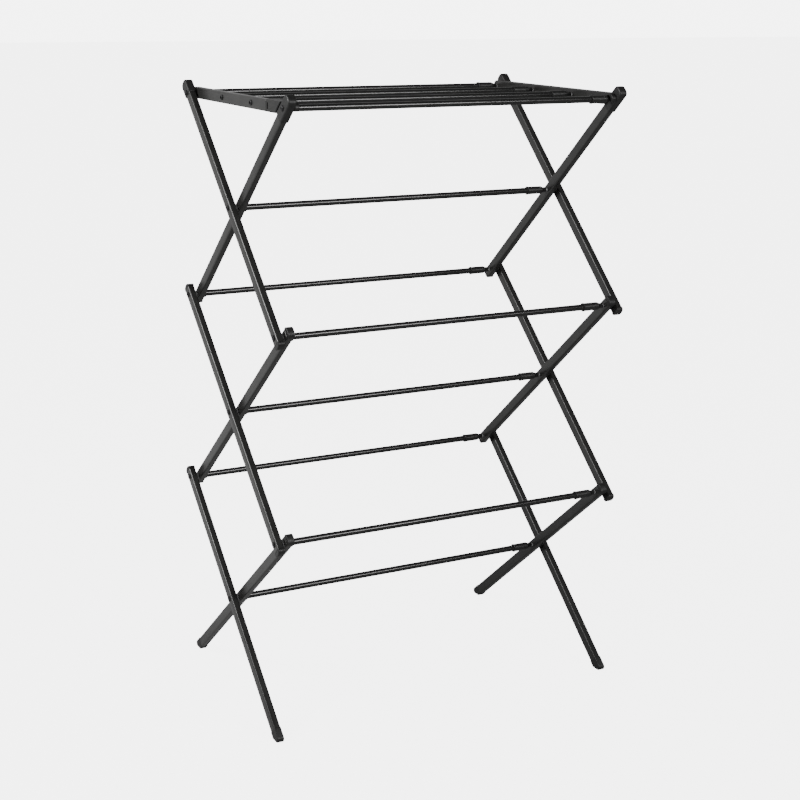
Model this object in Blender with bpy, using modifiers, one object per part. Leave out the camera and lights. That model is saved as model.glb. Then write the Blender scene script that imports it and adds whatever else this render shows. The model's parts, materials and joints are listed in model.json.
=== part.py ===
"""A folding clothes drying rack, built from its separate pieces.

X runs along the bars, Y from the front to the back and Z up. The origin is on the floor, midway between
the feet.
Each side of the rack is a column of crossed flat tubes, the arms. They lie in two layers, outer and inner.
Round bars join the two sides at every pivot. A shelf hangs on the top back pivots and hooks over the top
front bar.
"""

import math

import bmesh
import bpy
from mathutils import Matrix, Vector

# Overall sizes, in metres
WIDTH = 0.656
TOP_SPREAD = 0.3652
UPPER_SPREAD = 0.3718
LOWER_SPREAD = 0.3778
LEG_CROSS_HEIGHT = 0.176
LOWER_HEIGHT = 0.3413
UPPER_HEIGHT = 0.6815
TOP_HEIGHT = 1.0369

# Arms: flat steel tube
ARM_THICK = 0.0125
ARM_WIDE = 0.0187
ARM_WALL = 0.0010
ARM_CORNER = 0.0028
ARM_OVERHANG = 0.0205
PLUG_WALL = 0.005
PLUG_ROUND = 0.0070
LAYER_GAP = 0.004
BOSS_WALL = 0.0017
BOSS_ROOT = 0.0006

# Bars: round steel tube with a plastic insert at the left end and a long connector at the right end
BAR_RADIUS = 0.0055
BAR_WALL = 0.0006
INSERT_DEPTH = 0.020
INSERT_LIP_RISE = 0.0018
INSERT_LIP = 0.003
CONNECTOR_WALL = 0.0015
CONNECTOR_LENGTH = 0.028
CONNECTOR_LIP_RISE = 0.0005
CONNECTOR_LIP = 0.0025
SHOULDER = 0.004
NECK_WALL = 0.0017
NECK_LENGTH = 0.0095

# Pivot bolts and rail screws
BOLT_RADIUS = 0.0025
BOLT_HEAD_RADIUS = 0.0048
BOLT_HEAD = 0.0021
BOLT_ENGAGEMENT = 0.012
SCREW_RADIUS = 0.0020
SCREW_HEAD_RADIUS = 0.0042
SCREW_HEAD = 0.0019

# Plastic caps and feet
CAP_WALL = 0.0010
CAP_OVERHANG = 0.0258
OUTER_CAP_LENGTH = 0.031
INNER_CAP_LENGTH = 0.050
CAP_ROUND = 0.0075
CAP_EDGE = 0.0022
FOOT_SLEEVE = 0.012
FOOT_WALL = 0.0012
FOOT_SOCKET = 0.060
FOOT_SOLE = 0.0035
FOOT_EDGE = 0.0012
TOE_RADIUS = 0.006
TOE_STEPS = 4

# Shelf
RAIL_THICK = 0.0115
RAIL_WIDE = 0.0195
RAIL_WALL = 0.0010
RAIL_OVERHANG = 0.013
RAIL_GAP = 0.003
RAIL_EDGE = 0.0022
HOOK_START = 0.0610
HOOK_PLATE = 0.0080
HOOK_EDGE = 0.0010
HOOK_PLAY = 0.0008
HOOK_MOUTH = 0.0101
HOOK_NOSE = 0.0065
HOOK_TONGUE = 0.022
HOOK_CLEARANCE = 0.003
HOOK_LEAVE_ANGLE = math.radians(25)
WASHER_RADIUS = 0.0065

# Clearances
FIT = 0.0003
OPEN_PIVOT_PLAY = 0.0013

# How far a cutter runs out of an open end, and how deep joined shapes reach into each other
OPEN_END = 0.010
JOIN_DEPTH = 0.002
JOIN_STEP = 0.0002

ROUND_STEPS = 10
SMALL_STEPS = 8
BOSS_STEPS = 12
NOTCH_STEPS = 6

OUTER_FACE = WIDTH / 2
INNER_LAYER = OUTER_FACE - ARM_THICK - LAYER_GAP
INNER_FACE = INNER_LAYER - ARM_THICK
RAIL_FACE = OUTER_FACE - ARM_THICK - RAIL_GAP
CAP_PAD = FIT + CAP_WALL
FOOT_PAD = FIT + FOOT_WALL
BORE_RADIUS = BOLT_RADIUS + FIT
INSERT_LIP_RADIUS = BAR_RADIUS + INSERT_LIP_RISE
CONNECTOR_RADIUS = BAR_RADIUS + CONNECTOR_WALL
CONNECTOR_LIP_RADIUS = CONNECTOR_RADIUS + CONNECTOR_LIP_RISE
NECK_RADIUS = BORE_RADIUS + NECK_WALL
HOOK_NOTCH = BAR_RADIUS + HOOK_PLAY
SIDES = {"left": -1, "right": 1}


def crossing(low, high, low_spread, high_spread):
    """Height at which two straight arms cross between two rows of pivots."""
    return low + (high - low) * low_spread / (low_spread + high_spread)


def pivot_points():
    """Each pivot as (y, z), the same on both sides of the rack."""
    lower = LOWER_SPREAD / 2
    upper = UPPER_SPREAD / 2
    top = TOP_SPREAD / 2
    return {
        "leg_cross": Vector((0, LEG_CROSS_HEIGHT)),
        "lower_front": Vector((-lower, LOWER_HEIGHT)),
        "lower_back": Vector((lower, LOWER_HEIGHT)),
        "mid_cross": Vector((0, crossing(LOWER_HEIGHT, UPPER_HEIGHT, lower, upper))),
        "upper_front": Vector((-upper, UPPER_HEIGHT)),
        "upper_back": Vector((upper, UPPER_HEIGHT)),
        "top_cross": Vector((0, crossing(UPPER_HEIGHT, TOP_HEIGHT, upper, top))),
        "top_front": Vector((-top, TOP_HEIGHT)),
        "top_back": Vector((top, TOP_HEIGHT)),
    }


PIVOTS = pivot_points()

# The pivot on which each body turns, as its parent empty's place
BODY_PIVOTS = {
    "legs_outer": "leg_cross",
    "legs_inner": "leg_cross",
    "mid_outer": "lower_front",
    "mid_inner": "mid_cross",
    "top_outer": "upper_front",
    "top_inner": "top_cross",
    "back_pivot": "top_back",
    "shelf": "top_back",
}


def clear_scene():
    for obj in list(bpy.data.objects):
        bpy.data.objects.remove(obj, do_unlink=True)


def new_collection(name):
    collection = bpy.data.collections.new(name)
    bpy.context.scene.collection.children.link(collection)
    return collection


def new_material(name, color, roughness, metallic):
    material = bpy.data.materials.new(name)
    material.use_nodes = True
    shader = material.node_tree.nodes["Principled BSDF"]
    shader.inputs["Base Color"].default_value = (*color, 1)
    shader.inputs["Roughness"].default_value = roughness
    shader.inputs["Metallic"].default_value = metallic
    return material


clear_scene()
rack = new_collection("clothes_drying_rack")
cutters = new_collection("cutters")
cutters.hide_render = True

FINISHES = {
    "arm_paint": new_material("arm_paint", (0.040, 0.040, 0.039), 0.42, 0.0),
    "bar_paint": new_material("bar_paint", (0.025, 0.025, 0.025), 0.28, 0.0),
    "black_plastic": new_material("black_plastic", (0.022, 0.022, 0.022), 0.55, 0.0),
    "black_screw": new_material("black_screw", (0.030, 0.030, 0.030), 0.35, 0.8),
}


def body_empties():
    """An empty on each body's pivot axis, so that the body turns about its own origin."""
    empties = {}
    for body, pivot in BODY_PIVOTS.items():
        empty = bpy.data.objects.new(body + "_axis", None)
        empty.location = (0, *PIVOTS[pivot])
        rack.objects.link(empty)
        empties[body] = empty
    return empties


BODIES = body_empties()


def add_piece(name, mesh, finish, body, location, rotation=(0, 0, 0)):
    """A named sub-part: its mesh placed in the rack's frame and parented to its body's empty."""
    obj = bpy.data.objects.new(name, mesh)
    obj.parent = BODIES[body]
    obj.location = Vector(location) - BODIES[body].location
    obj.rotation_euler = rotation
    rack.objects.link(obj)
    mesh.materials.clear()
    mesh.materials.append(FINISHES[finish])
    return obj


def add_boolean(obj, cutter_mesh, operation, location, rotation=(0, 0, 0)):
    """Cuts a mesh from a piece, or joins it on. The place is in the rack's frame."""
    cutter = bpy.data.objects.new(obj.name + "_cutter", cutter_mesh)
    cutter.location = location
    cutter.rotation_euler = rotation
    cutter.hide_render = True
    cutter.display_type = "WIRE"
    cutters.objects.link(cutter)
    modifier = obj.modifiers.new(operation.lower(), "BOOLEAN")
    modifier.operation = operation
    modifier.solver = "EXACT"
    modifier.object = cutter


def mesh_from(shape, name):
    mesh = bpy.data.meshes.new(name)
    shape.to_mesh(mesh)
    shape.free()
    return mesh


def box_mesh(name, x_span, y_span, z_span):
    """A box from its lowest and highest value on each local axis."""
    spans = (x_span, y_span, z_span)
    size = [high - low for low, high in spans]
    centre = [(high + low) / 2 for low, high in spans]
    shape = bmesh.new()
    bmesh.ops.create_cube(shape, size=1, matrix=Matrix.LocRotScale(centre, None, size))
    return mesh_from(shape, name)


def rod_mesh(name, radius, low, high, steps=SMALL_STEPS):
    """A round rod along local Z."""
    shape = bmesh.new()
    bmesh.ops.create_cone(
        shape,
        cap_ends=True,
        segments=steps,
        radius1=radius,
        radius2=radius,
        depth=high - low,
        matrix=Matrix.Translation((0, 0, (high + low) / 2)),
    )
    return mesh_from(shape, name)


def outline_mesh(name, outline, low, high):
    """A flat outline in local Y and Z, raised from low to high along local X."""
    shape = bmesh.new()
    face = shape.faces.new([shape.verts.new((low, y, z)) for y, z in outline])
    raised = bmesh.ops.extrude_face_region(shape, geom=[face])
    moved = [item for item in raised["geom"] if isinstance(item, bmesh.types.BMVert)]
    bmesh.ops.translate(shape, verts=moved, vec=(high - low, 0, 0))
    bmesh.ops.recalc_face_normals(shape, faces=shape.faces)
    return mesh_from(shape, name)


def round_long_edges(mesh, ends, radius, segments=2):
    """Rounds the edges along X at the given local Z values, which shapes a tube's end in side view."""
    shape = bmesh.new()
    shape.from_mesh(mesh)
    chosen = []
    for edge in shape.edges:
        first, second = (vert.co for vert in edge.verts)
        along_x = abs(first.x - second.x) > 0.001
        if along_x and any(abs(first.z - end) < 1e-5 for end in ends):
            chosen.append(edge)
    bmesh.ops.bevel(shape, geom=chosen, offset=radius, segments=segments, profile=0.5, affect="EDGES")
    shape.to_mesh(mesh)
    shape.free()


def add_corner_bevel(obj, width, segments=2):
    bevel = obj.modifiers.new("corners", "BEVEL")
    bevel.width = width
    bevel.segments = segments
    bevel.limit_method = "ANGLE"
    bevel.angle_limit = math.radians(40)


def shade_round(obj):
    obj.data.shade_smooth()
    obj.data.set_sharp_from_angle(angle=math.radians(35))


def turned_piece(name, profile, finish, body, location, rotation, steps):
    """A turned shape about local Z. The profile holds (radius, z) from the top of its outer side down."""
    shape = bmesh.new()
    verts = [shape.verts.new((radius, 0, z)) for radius, z in profile]
    for first, second in zip(verts, verts[1:]):
        shape.edges.new((first, second))
    obj = add_piece(name, mesh_from(shape, name), finish, body, location, rotation)
    screw = obj.modifiers.new("turn", "SCREW")
    screw.axis = "Z"
    screw.steps = steps
    screw.render_steps = steps
    screw.use_merge_vertices = True
    screw.merge_threshold = 0.0001
    screw.use_smooth_shade = True
    shade_round(obj)


def along_x(side):
    """The rotation that turns local Z to point outwards on one side of the rack."""
    return (0, side * math.pi / 2, 0)


def bore_at(obj, pivot, radius):
    """A round hole through the whole side layer at a pivot, on the side of the rack where the piece is."""
    side = SIDES[obj.name.rsplit("_", 1)[1]]
    reach = ARM_THICK + LAYER_GAP
    cutter = rod_mesh(obj.name + "_bore", radius, INNER_FACE - reach, OUTER_FACE + reach)
    add_boolean(obj, cutter, "DIFFERENCE", (0, *pivot), along_x(side))


def tilt_of(direction):
    """The rotation about X that turns local Z to this (y, z) direction."""
    return (math.atan2(-direction[0], direction[1]), 0, 0)


def side_box(name, side, low, high, y_span, z_span):
    """A box whose X span is given outwards from the middle of the rack."""
    x_span = sorted((side * low, side * high))
    return box_mesh(name, x_span, y_span, z_span)


def layer_faces(layer):
    """The inner and outer face of an arm layer, measured from the middle of the rack."""
    outer = OUTER_FACE if layer == "outer" else INNER_LAYER
    return outer - ARM_THICK, outer


def floor_point(upper):
    """Where the centre line of a leg meets the floor, from the pivot at its upper end."""
    cross = PIVOTS["leg_cross"]
    direction = (cross - PIVOTS[upper]).normalized()
    return cross - direction * (cross.y / direction.y)


def leg_end(upper):
    """The lower end of a leg's tube, above the sole of its foot."""
    ground = floor_point(upper)
    direction = (PIVOTS[upper] - ground).normalized()
    drop = ARM_WIDE / 2 * abs(direction.x) + FOOT_SOLE
    return ground + direction * (drop / direction.y)


def add_arm(name, side, layer, body, lower, upper, bores, bosses):
    """A flat tube between two pivots, plugged and rounded at its ends. A leg's floor end is open."""
    inner, outer = layer_faces(layer)
    is_leg = lower == "floor"
    origin = leg_end(upper) if is_leg else PIVOTS[lower]
    reach = PIVOTS[upper] - origin
    tilt = tilt_of(reach.normalized())
    half = ARM_WIDE / 2
    low = 0 if is_leg else -ARM_OVERHANG
    high = reach.length + ARM_OVERHANG
    mesh = side_box(name, side, inner, outer, (-half, half), (low, high))
    round_long_edges(mesh, [high] if is_leg else [low, high], PLUG_ROUND)
    obj = add_piece(name, mesh, "arm_paint", body, (0, *origin), tilt)
    add_corner_bevel(obj, ARM_CORNER)
    hollow = side_box(
        name + "_hollow",
        side,
        inner + ARM_WALL,
        outer - ARM_WALL,
        (-half + ARM_WALL, half - ARM_WALL),
        (low - OPEN_END if is_leg else low + PLUG_WALL, high - PLUG_WALL),
    )
    add_boolean(obj, hollow, "DIFFERENCE", (0, *origin), tilt)
    for pivot in bosses:
        boss_top = outer + LAYER_GAP - 2 * FIT
        boss = rod_mesh(name + "_boss", bores[pivot] + BOSS_WALL, outer - BOSS_ROOT, boss_top, BOSS_STEPS)
        add_boolean(obj, boss, "UNION", (0, *PIVOTS[pivot]), along_x(side))
    for pivot, radius in bores.items():
        bore_at(obj, PIVOTS[pivot], radius)
    shade_round(obj)


def foot_outline(ground, direction):
    """A foot in side view: the leg's slant, cut level at the floor, with a round toe at its sharp corner."""
    half = ARM_WIDE / 2 + FOOT_PAD
    across = Vector((-direction.y, direction.x))
    if across.y < 0:
        across = -across
    high_side = ground + across * half
    toe = high_side - direction * (high_side.y / direction.y)
    low_side = ground - across * half
    heel = low_side - direction * (low_side.y / direction.y)
    top = ground + direction * (FOOT_SLEEVE + half * abs(direction.x) / direction.y)
    slope = math.atan2(direction.y, abs(direction.x))
    inward = 1 if heel.x > toe.x else -1
    centre = Vector((toe.x + inward * TOE_RADIUS / math.tan(slope / 2), TOE_RADIUS))
    sweep = math.pi - slope
    arc = []
    for step in range(TOE_STEPS + 1):
        turn = sweep * step / TOE_STEPS
        arc.append(centre + TOE_RADIUS * Vector((-inward * math.sin(turn), -math.cos(turn))))
    return [heel, *arc, top + across * half, top - across * half]


def add_foot(name, side, layer, body, upper):
    """A plastic boot over a leg's lower end."""
    ground = floor_point(upper)
    direction = (PIVOTS[upper] - ground).normalized()
    inner, outer = layer_faces(layer)
    low, high = sorted((side * (inner - FOOT_PAD), side * (outer + FOOT_PAD)))
    outline = [point - ground for point in foot_outline(ground, direction)]
    mesh = outline_mesh(name, outline, low, high)
    obj = add_piece(name, mesh, "black_plastic", body, (0, *ground))
    add_corner_bevel(obj, FOOT_EDGE)
    half = ARM_WIDE / 2 + FIT
    socket = side_box(name + "_socket", side, inner - FIT, outer + FIT, (-half, half), (-FIT, FOOT_SOCKET))
    add_boolean(obj, socket, "DIFFERENCE", (0, *leg_end(upper)), tilt_of(direction))
    shade_round(obj)


def add_cap(name, side, layer, body, pivot, length):
    """A sleeve cap over an arm's top end, with the pivot bolt through it."""
    inner, outer = layer_faces(layer)
    direction = (PIVOTS[pivot] - PIVOTS["top_cross"]).normalized()
    tilt = tilt_of(direction)
    half = ARM_WIDE / 2
    low = CAP_OVERHANG - length
    mesh = side_box(
        name,
        side,
        inner - CAP_PAD,
        outer + CAP_PAD,
        (-half - CAP_PAD, half + CAP_PAD),
        (low, CAP_OVERHANG),
    )
    round_long_edges(mesh, [CAP_OVERHANG], CAP_ROUND)
    obj = add_piece(name, mesh, "black_plastic", body, (0, *PIVOTS[pivot]), tilt)
    add_corner_bevel(obj, CAP_EDGE)
    socket = side_box(
        name + "_socket",
        side,
        inner - FIT,
        outer + FIT,
        (-half - FIT, half + FIT),
        (low - OPEN_END, ARM_OVERHANG + FIT),
    )
    add_boolean(obj, socket, "DIFFERENCE", (0, *PIVOTS[pivot]), tilt)
    bore_at(obj, PIVOTS[pivot], BORE_RADIUS)
    shade_round(obj)


def add_bar(name, body, point, reach, bore=BORE_RADIUS, lip=True):
    """A round tube between the two sides, from the left end at z = 0 to the right end at z = length.
    The tube's inside opens through the bolt hole in its left insert."""
    length = 2 * reach
    depth = BOLT_ENGAGEMENT + 2 * FIT
    inside = BAR_RADIUS - BAR_WALL
    shoulder_top = length - NECK_LENGTH
    body_top = shoulder_top - SHOULDER
    body_low = body_top - CONNECTOR_LENGTH
    lip_low = body_low - CONNECTOR_LIP
    profile = [
        (0, length - depth),
        (bore, length - depth),
        (bore, length),
        (NECK_RADIUS, length),
        (NECK_RADIUS, shoulder_top),
        (CONNECTOR_RADIUS, body_top),
        (CONNECTOR_RADIUS, body_low),
        (CONNECTOR_LIP_RADIUS, body_low),
        (CONNECTOR_LIP_RADIUS, lip_low),
        (BAR_RADIUS, lip_low),
    ]
    if lip:
        profile += [(BAR_RADIUS, INSERT_LIP), (INSERT_LIP_RADIUS, INSERT_LIP), (INSERT_LIP_RADIUS, 0)]
    else:
        profile += [(BAR_RADIUS, 0)]
    profile += [
        (bore, 0),
        (bore, INSERT_DEPTH),
        (inside, INSERT_DEPTH),
        (inside, length - depth - INSERT_DEPTH),
        (0, length - depth - INSERT_DEPTH),
    ]
    rotation = (0, math.pi / 2, 0)
    turned_piece(name, profile, "bar_paint", body, (-reach, *point), rotation, ROUND_STEPS)


def add_fastener(name, side, body, point, seat, tip, radius, head_radius, head):
    """A domed bolt, from its head's seat to its shank's tip, both measured from the middle of the rack."""
    length = seat - tip
    profile = [
        (0, head),
        (0.7 * head_radius, 0.8 * head),
        (head_radius, 0.25 * head),
        (head_radius, 0),
        (radius, 0),
        (radius, -length),
        (0, -length),
    ]
    location = (side * seat, *point)
    turned_piece(name, profile, "black_screw", body, location, along_x(side), SMALL_STEPS)


def add_pivot_bolt(pivot, side_name, body, seat, bar_reach):
    add_fastener(
        f"bolt_{pivot}_{side_name}",
        SIDES[side_name],
        body,
        PIVOTS[pivot],
        seat + FIT,
        bar_reach - BOLT_ENGAGEMENT,
        BOLT_RADIUS,
        BOLT_HEAD_RADIUS,
        BOLT_HEAD,
    )


ARM_REACH = INNER_FACE - FIT
CAP_REACH = INNER_FACE - CAP_PAD - FIT
RAIL_REACH = RAIL_FACE - RAIL_THICK - FIT
OPEN_BORE = BOLT_RADIUS + OPEN_PIVOT_PLAY


# Each arm: its layer, body, lower end, crossing and upper end
ARMS = {
    "leg_outer": ("outer", "legs_outer", "floor", "leg_cross", "lower_back"),
    "leg_inner": ("inner", "legs_inner", "floor", "leg_cross", "lower_front"),
    "mid_outer": ("outer", "mid_outer", "lower_front", "mid_cross", "upper_back"),
    "mid_inner": ("inner", "mid_inner", "lower_back", "mid_cross", "upper_front"),
    "top_outer": ("outer", "top_outer", "upper_front", "top_cross", "top_back"),
    "top_inner": ("inner", "top_inner", "upper_back", "top_cross", "top_front"),
}
# The two pivots that close the loops of the frame, on the arm that holds the wider bore there
OPEN_PIVOTS = {"mid_outer": "upper_back", "mid_inner": "lower_back"}


def build_side(side_name):
    """The six arms of one side, with their feet and caps."""
    side = SIDES[side_name]
    for arm, (layer, body, lower, cross, upper) in ARMS.items():
        bored = [pivot for pivot in (lower, cross, upper) if pivot != "floor"]
        bores = {pivot: OPEN_BORE if OPEN_PIVOTS.get(arm) == pivot else BORE_RADIUS for pivot in bored}
        bosses = [pivot for pivot in bored if layer == "inner" and pivot != "top_front"]
        add_arm(f"{arm}_{side_name}", side, layer, body, lower, upper, bores, bosses)
    add_foot(f"foot_outer_{side_name}", side, "outer", "legs_outer", "lower_back")
    add_foot(f"foot_inner_{side_name}", side, "inner", "legs_inner", "lower_front")
    add_cap(f"cap_outer_{side_name}", side, "outer", "top_outer", "top_back", OUTER_CAP_LENGTH)
    add_cap(f"cap_inner_{side_name}", side, "inner", "top_inner", "top_front", INNER_CAP_LENGTH)


def build_bars():
    """The bars at the pivots, and the bolts that hold each one on both sides."""
    rows = [
        ("leg_cross", "legs_inner", ARM_REACH, OUTER_FACE),
        ("lower_front", "mid_outer", ARM_REACH, OUTER_FACE),
        ("lower_back", "legs_outer", ARM_REACH, OUTER_FACE),
        ("mid_cross", "mid_inner", ARM_REACH, OUTER_FACE),
        ("upper_front", "top_outer", ARM_REACH, OUTER_FACE),
        ("upper_back", "top_inner", ARM_REACH, OUTER_FACE),
        ("top_cross", "top_inner", ARM_REACH, OUTER_FACE),
        ("top_front", "top_inner", CAP_REACH, INNER_LAYER + CAP_PAD),
        ("top_back", "back_pivot", RAIL_REACH, OUTER_FACE + CAP_PAD),
    ]
    for pivot, body, reach, seat in rows:
        add_bar(f"bar_{pivot}", body, PIVOTS[pivot], reach, lip=pivot != "top_front")
        for side_name in SIDES:
            add_pivot_bolt(pivot, side_name, body, seat, reach)


def hook_outline():
    """The hook in side view, with the shelf pivot as origin and the front bar's centre at y = -TOP_SPREAD.
    The notch over the bar is open downwards and to the back, the way the bar leaves as the rack folds."""
    half = RAIL_WIDE / 2
    start = -(TOP_SPREAD - HOOK_START)
    bar = -TOP_SPREAD
    nose = bar - HOOK_NOTCH - HOOK_NOSE
    sweep = math.pi - HOOK_LEAVE_ANGLE
    arc = []
    for step in range(NOTCH_STEPS + 1):
        turn = HOOK_LEAVE_ANGLE + sweep * step / NOTCH_STEPS
        arc.append((bar + HOOK_NOTCH * math.cos(turn), HOOK_NOTCH * math.sin(turn)))
    return [
        (start, half),
        (start, -half),
        (bar + HOOK_NOTCH + HOOK_MOUTH, -half),
        *arc,
        (bar - HOOK_NOTCH, -half / 2),
        (nose + HOOK_NOSE / 3, -half / 2),
        (nose, 0),
        (nose + HOOK_NOSE / 5, half * 3 / 5),
        (nose + HOOK_NOSE * 4 / 5, half),
    ]


def rail_end_outline():
    """The hook's outer block behind the inner arm: its end is slanted like the arm that it stops at.
    It is a little slimmer than the plate, so that no two faces of the joined shapes lie in one plane."""
    half = RAIL_WIDE / 2 - JOIN_STEP
    slope = (PIVOTS["top_front"] - PIVOTS["top_cross"]).normalized()
    across = Vector((-slope.y, slope.x))
    if across.x < 0:
        across = -across
    edge = PIVOTS["top_front"] - PIVOTS["top_back"] + across * (ARM_WIDE / 2 + CAP_PAD + HOOK_CLEARANCE)
    start = -(TOP_SPREAD - HOOK_START) + JOIN_STEP
    upper = edge.x + slope.x * (half - edge.y) / slope.y
    lower = edge.x + slope.x * (-half - edge.y) / slope.y
    return [(start, half), (start, -half), (lower, -half), (upper, half)]


def add_hook(side_name):
    """The plastic end piece of a shelf rail. Its tongue fits in the rail and its plate passes inside the arm."""
    side = SIDES[side_name]
    name = f"shelf_hook_{side_name}"
    plate_out = CAP_REACH
    plate_in = CAP_REACH - HOOK_PLATE
    pivot = (0, *PIVOTS["top_back"])
    low, high = sorted((side * plate_in, side * plate_out))
    obj = add_piece(name, outline_mesh(name, hook_outline(), low, high), "black_plastic", "shelf", pivot)
    add_corner_bevel(obj, HOOK_EDGE)
    low, high = sorted((side * (plate_out - JOIN_DEPTH), side * RAIL_FACE))
    add_boolean(obj, outline_mesh(name + "_block", rail_end_outline(), low, high), "UNION", pivot)
    wall = RAIL_WALL + FIT
    start = -(TOP_SPREAD - HOOK_START)
    tongue = side_box(
        name + "_tongue",
        side,
        RAIL_FACE - RAIL_THICK + wall,
        RAIL_FACE - wall,
        (start - JOIN_DEPTH, start + HOOK_TONGUE),
        (-RAIL_WIDE / 2 + wall, RAIL_WIDE / 2 - wall),
    )
    add_boolean(obj, tongue, "UNION", pivot)
    shade_round(obj)


def add_rail(side_name):
    """One side rail of the shelf, open at its front end for the hook's tongue."""
    side = SIDES[side_name]
    name = f"shelf_rail_{side_name}"
    half = RAIL_WIDE / 2
    front = TOP_SPREAD - HOOK_START - FIT
    inner = RAIL_FACE - RAIL_THICK
    pivot = (0, *PIVOTS["top_back"])
    turn = tilt_of((-1, 0))
    mesh = side_box(name, side, inner, RAIL_FACE, (-half, half), (-RAIL_OVERHANG, front))
    round_long_edges(mesh, [-RAIL_OVERHANG], CAP_ROUND)
    obj = add_piece(name, mesh, "arm_paint", "shelf", pivot, turn)
    add_corner_bevel(obj, RAIL_EDGE)
    hollow = side_box(
        name + "_hollow",
        side,
        inner + RAIL_WALL,
        RAIL_FACE - RAIL_WALL,
        (-half + RAIL_WALL, half - RAIL_WALL),
        (PLUG_WALL - RAIL_OVERHANG, front + OPEN_END),
    )
    add_boolean(obj, hollow, "DIFFERENCE", pivot, turn)
    bore_at(obj, PIVOTS["top_back"], BORE_RADIUS)
    for point in shelf_bar_points().values():
        bore_at(obj, point, SCREW_RADIUS + FIT)
    shade_round(obj)


def shelf_bar_points():
    """The two bars that divide the shelf evenly between its pivot and the front bar."""
    names = ("shelf_back", "shelf_front")
    step = TOP_SPREAD / (len(names) + 1)
    points = {}
    for index, name in enumerate(names, 1):
        points[name] = PIVOTS["top_back"] - Vector((index * step, 0))
    return points


def add_spacer(side_name):
    """The washer between an outer arm's cap and the shelf rail, on the shelf's pivot."""
    low = RAIL_FACE + FIT
    high = OUTER_FACE - ARM_THICK - CAP_PAD - FIT
    profile = [
        (BORE_RADIUS, low),
        (BORE_RADIUS, high),
        (WASHER_RADIUS, high),
        (WASHER_RADIUS, low),
        (BORE_RADIUS, low),
    ]
    turned_piece(
        f"shelf_spacer_{side_name}",
        profile,
        "black_plastic",
        "back_pivot",
        (0, *PIVOTS["top_back"]),
        along_x(SIDES[side_name]),
        ROUND_STEPS,
    )


def build_shelf():
    for side_name, side in SIDES.items():
        add_rail(side_name)
        add_hook(side_name)
        add_spacer(side_name)
        for bar, point in shelf_bar_points().items():
            add_fastener(
                f"screw_{bar}_{side_name}",
                side,
                "shelf",
                point,
                RAIL_FACE + FIT,
                RAIL_REACH - BOLT_ENGAGEMENT,
                SCREW_RADIUS,
                SCREW_HEAD_RADIUS,
                SCREW_HEAD,
            )
    for bar, point in shelf_bar_points().items():
        add_bar(f"bar_{bar}", "shelf", point, RAIL_REACH, bore=SCREW_RADIUS + FIT)


for side_name in SIDES:
    build_side(side_name)
build_bars()
build_shelf()
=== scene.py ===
"""Looks of the folding clothes drying rack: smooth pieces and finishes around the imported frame."""
import json
import math

import bmesh
import bpy
from mathutils import Matrix, Vector

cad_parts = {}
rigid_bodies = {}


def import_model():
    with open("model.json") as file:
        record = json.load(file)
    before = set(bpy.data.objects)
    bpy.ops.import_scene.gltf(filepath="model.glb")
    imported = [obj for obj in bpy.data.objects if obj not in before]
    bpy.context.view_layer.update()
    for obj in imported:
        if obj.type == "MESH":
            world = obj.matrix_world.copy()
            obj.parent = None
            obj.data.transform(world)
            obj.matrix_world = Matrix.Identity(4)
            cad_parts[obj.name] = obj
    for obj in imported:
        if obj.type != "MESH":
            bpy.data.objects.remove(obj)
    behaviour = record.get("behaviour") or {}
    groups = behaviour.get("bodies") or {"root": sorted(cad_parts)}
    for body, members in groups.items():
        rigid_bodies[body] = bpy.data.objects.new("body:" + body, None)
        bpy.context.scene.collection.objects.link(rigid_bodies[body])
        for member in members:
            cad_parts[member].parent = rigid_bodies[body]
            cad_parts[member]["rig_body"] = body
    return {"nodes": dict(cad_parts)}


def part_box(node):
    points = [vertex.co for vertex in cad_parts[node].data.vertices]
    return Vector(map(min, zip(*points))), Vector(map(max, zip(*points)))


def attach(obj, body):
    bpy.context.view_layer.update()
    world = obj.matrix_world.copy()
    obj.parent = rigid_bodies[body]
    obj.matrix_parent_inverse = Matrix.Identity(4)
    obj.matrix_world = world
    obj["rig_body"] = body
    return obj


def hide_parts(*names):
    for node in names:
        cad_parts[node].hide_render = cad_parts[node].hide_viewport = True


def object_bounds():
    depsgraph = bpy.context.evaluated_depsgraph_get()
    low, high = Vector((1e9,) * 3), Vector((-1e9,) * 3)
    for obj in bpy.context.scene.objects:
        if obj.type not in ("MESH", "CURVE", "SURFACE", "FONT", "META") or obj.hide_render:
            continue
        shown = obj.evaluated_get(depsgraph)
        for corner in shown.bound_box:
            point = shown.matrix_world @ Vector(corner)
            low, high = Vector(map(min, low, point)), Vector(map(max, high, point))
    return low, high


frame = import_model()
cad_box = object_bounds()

MM = 0.001
SIDES = {"left": -1, "right": 1}


# ---------------------------------------------------------------- places read from the frame
def pivot_of(bar):
    """The (y, z) centre line of a bar."""
    low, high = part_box("bar_" + bar)
    middle = (low + high) / 2
    return Vector((middle.y, middle.z))


PIVOT_NAMES = (
    "leg_cross",
    "lower_front",
    "lower_back",
    "mid_cross",
    "upper_front",
    "upper_back",
    "top_cross",
    "top_front",
    "top_back",
)
SHELF_BARS = ("shelf_back", "shelf_front")
PIVOTS = {name: pivot_of(name) for name in (*PIVOT_NAMES, *SHELF_BARS)}
BODY_OF = {name: node["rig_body"] for name, node in frame["nodes"].items()}

OUTER_IN, OUTER_FACE = (corner.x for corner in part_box("leg_outer_right"))
ARM_THICK = OUTER_FACE - OUTER_IN
INNER_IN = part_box("leg_inner_right")[0].x
INNER_FACE = INNER_IN + ARM_THICK
RAIL_IN, RAIL_FACE = (corner.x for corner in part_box("shelf_rail_right"))
LAYERS = {"outer": (OUTER_IN, OUTER_FACE), "inner": (INNER_IN, INNER_FACE)}

# ---------------------------------------------------------------- sizes that the boxes don't give
GAP = 0.15 * MM

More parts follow.
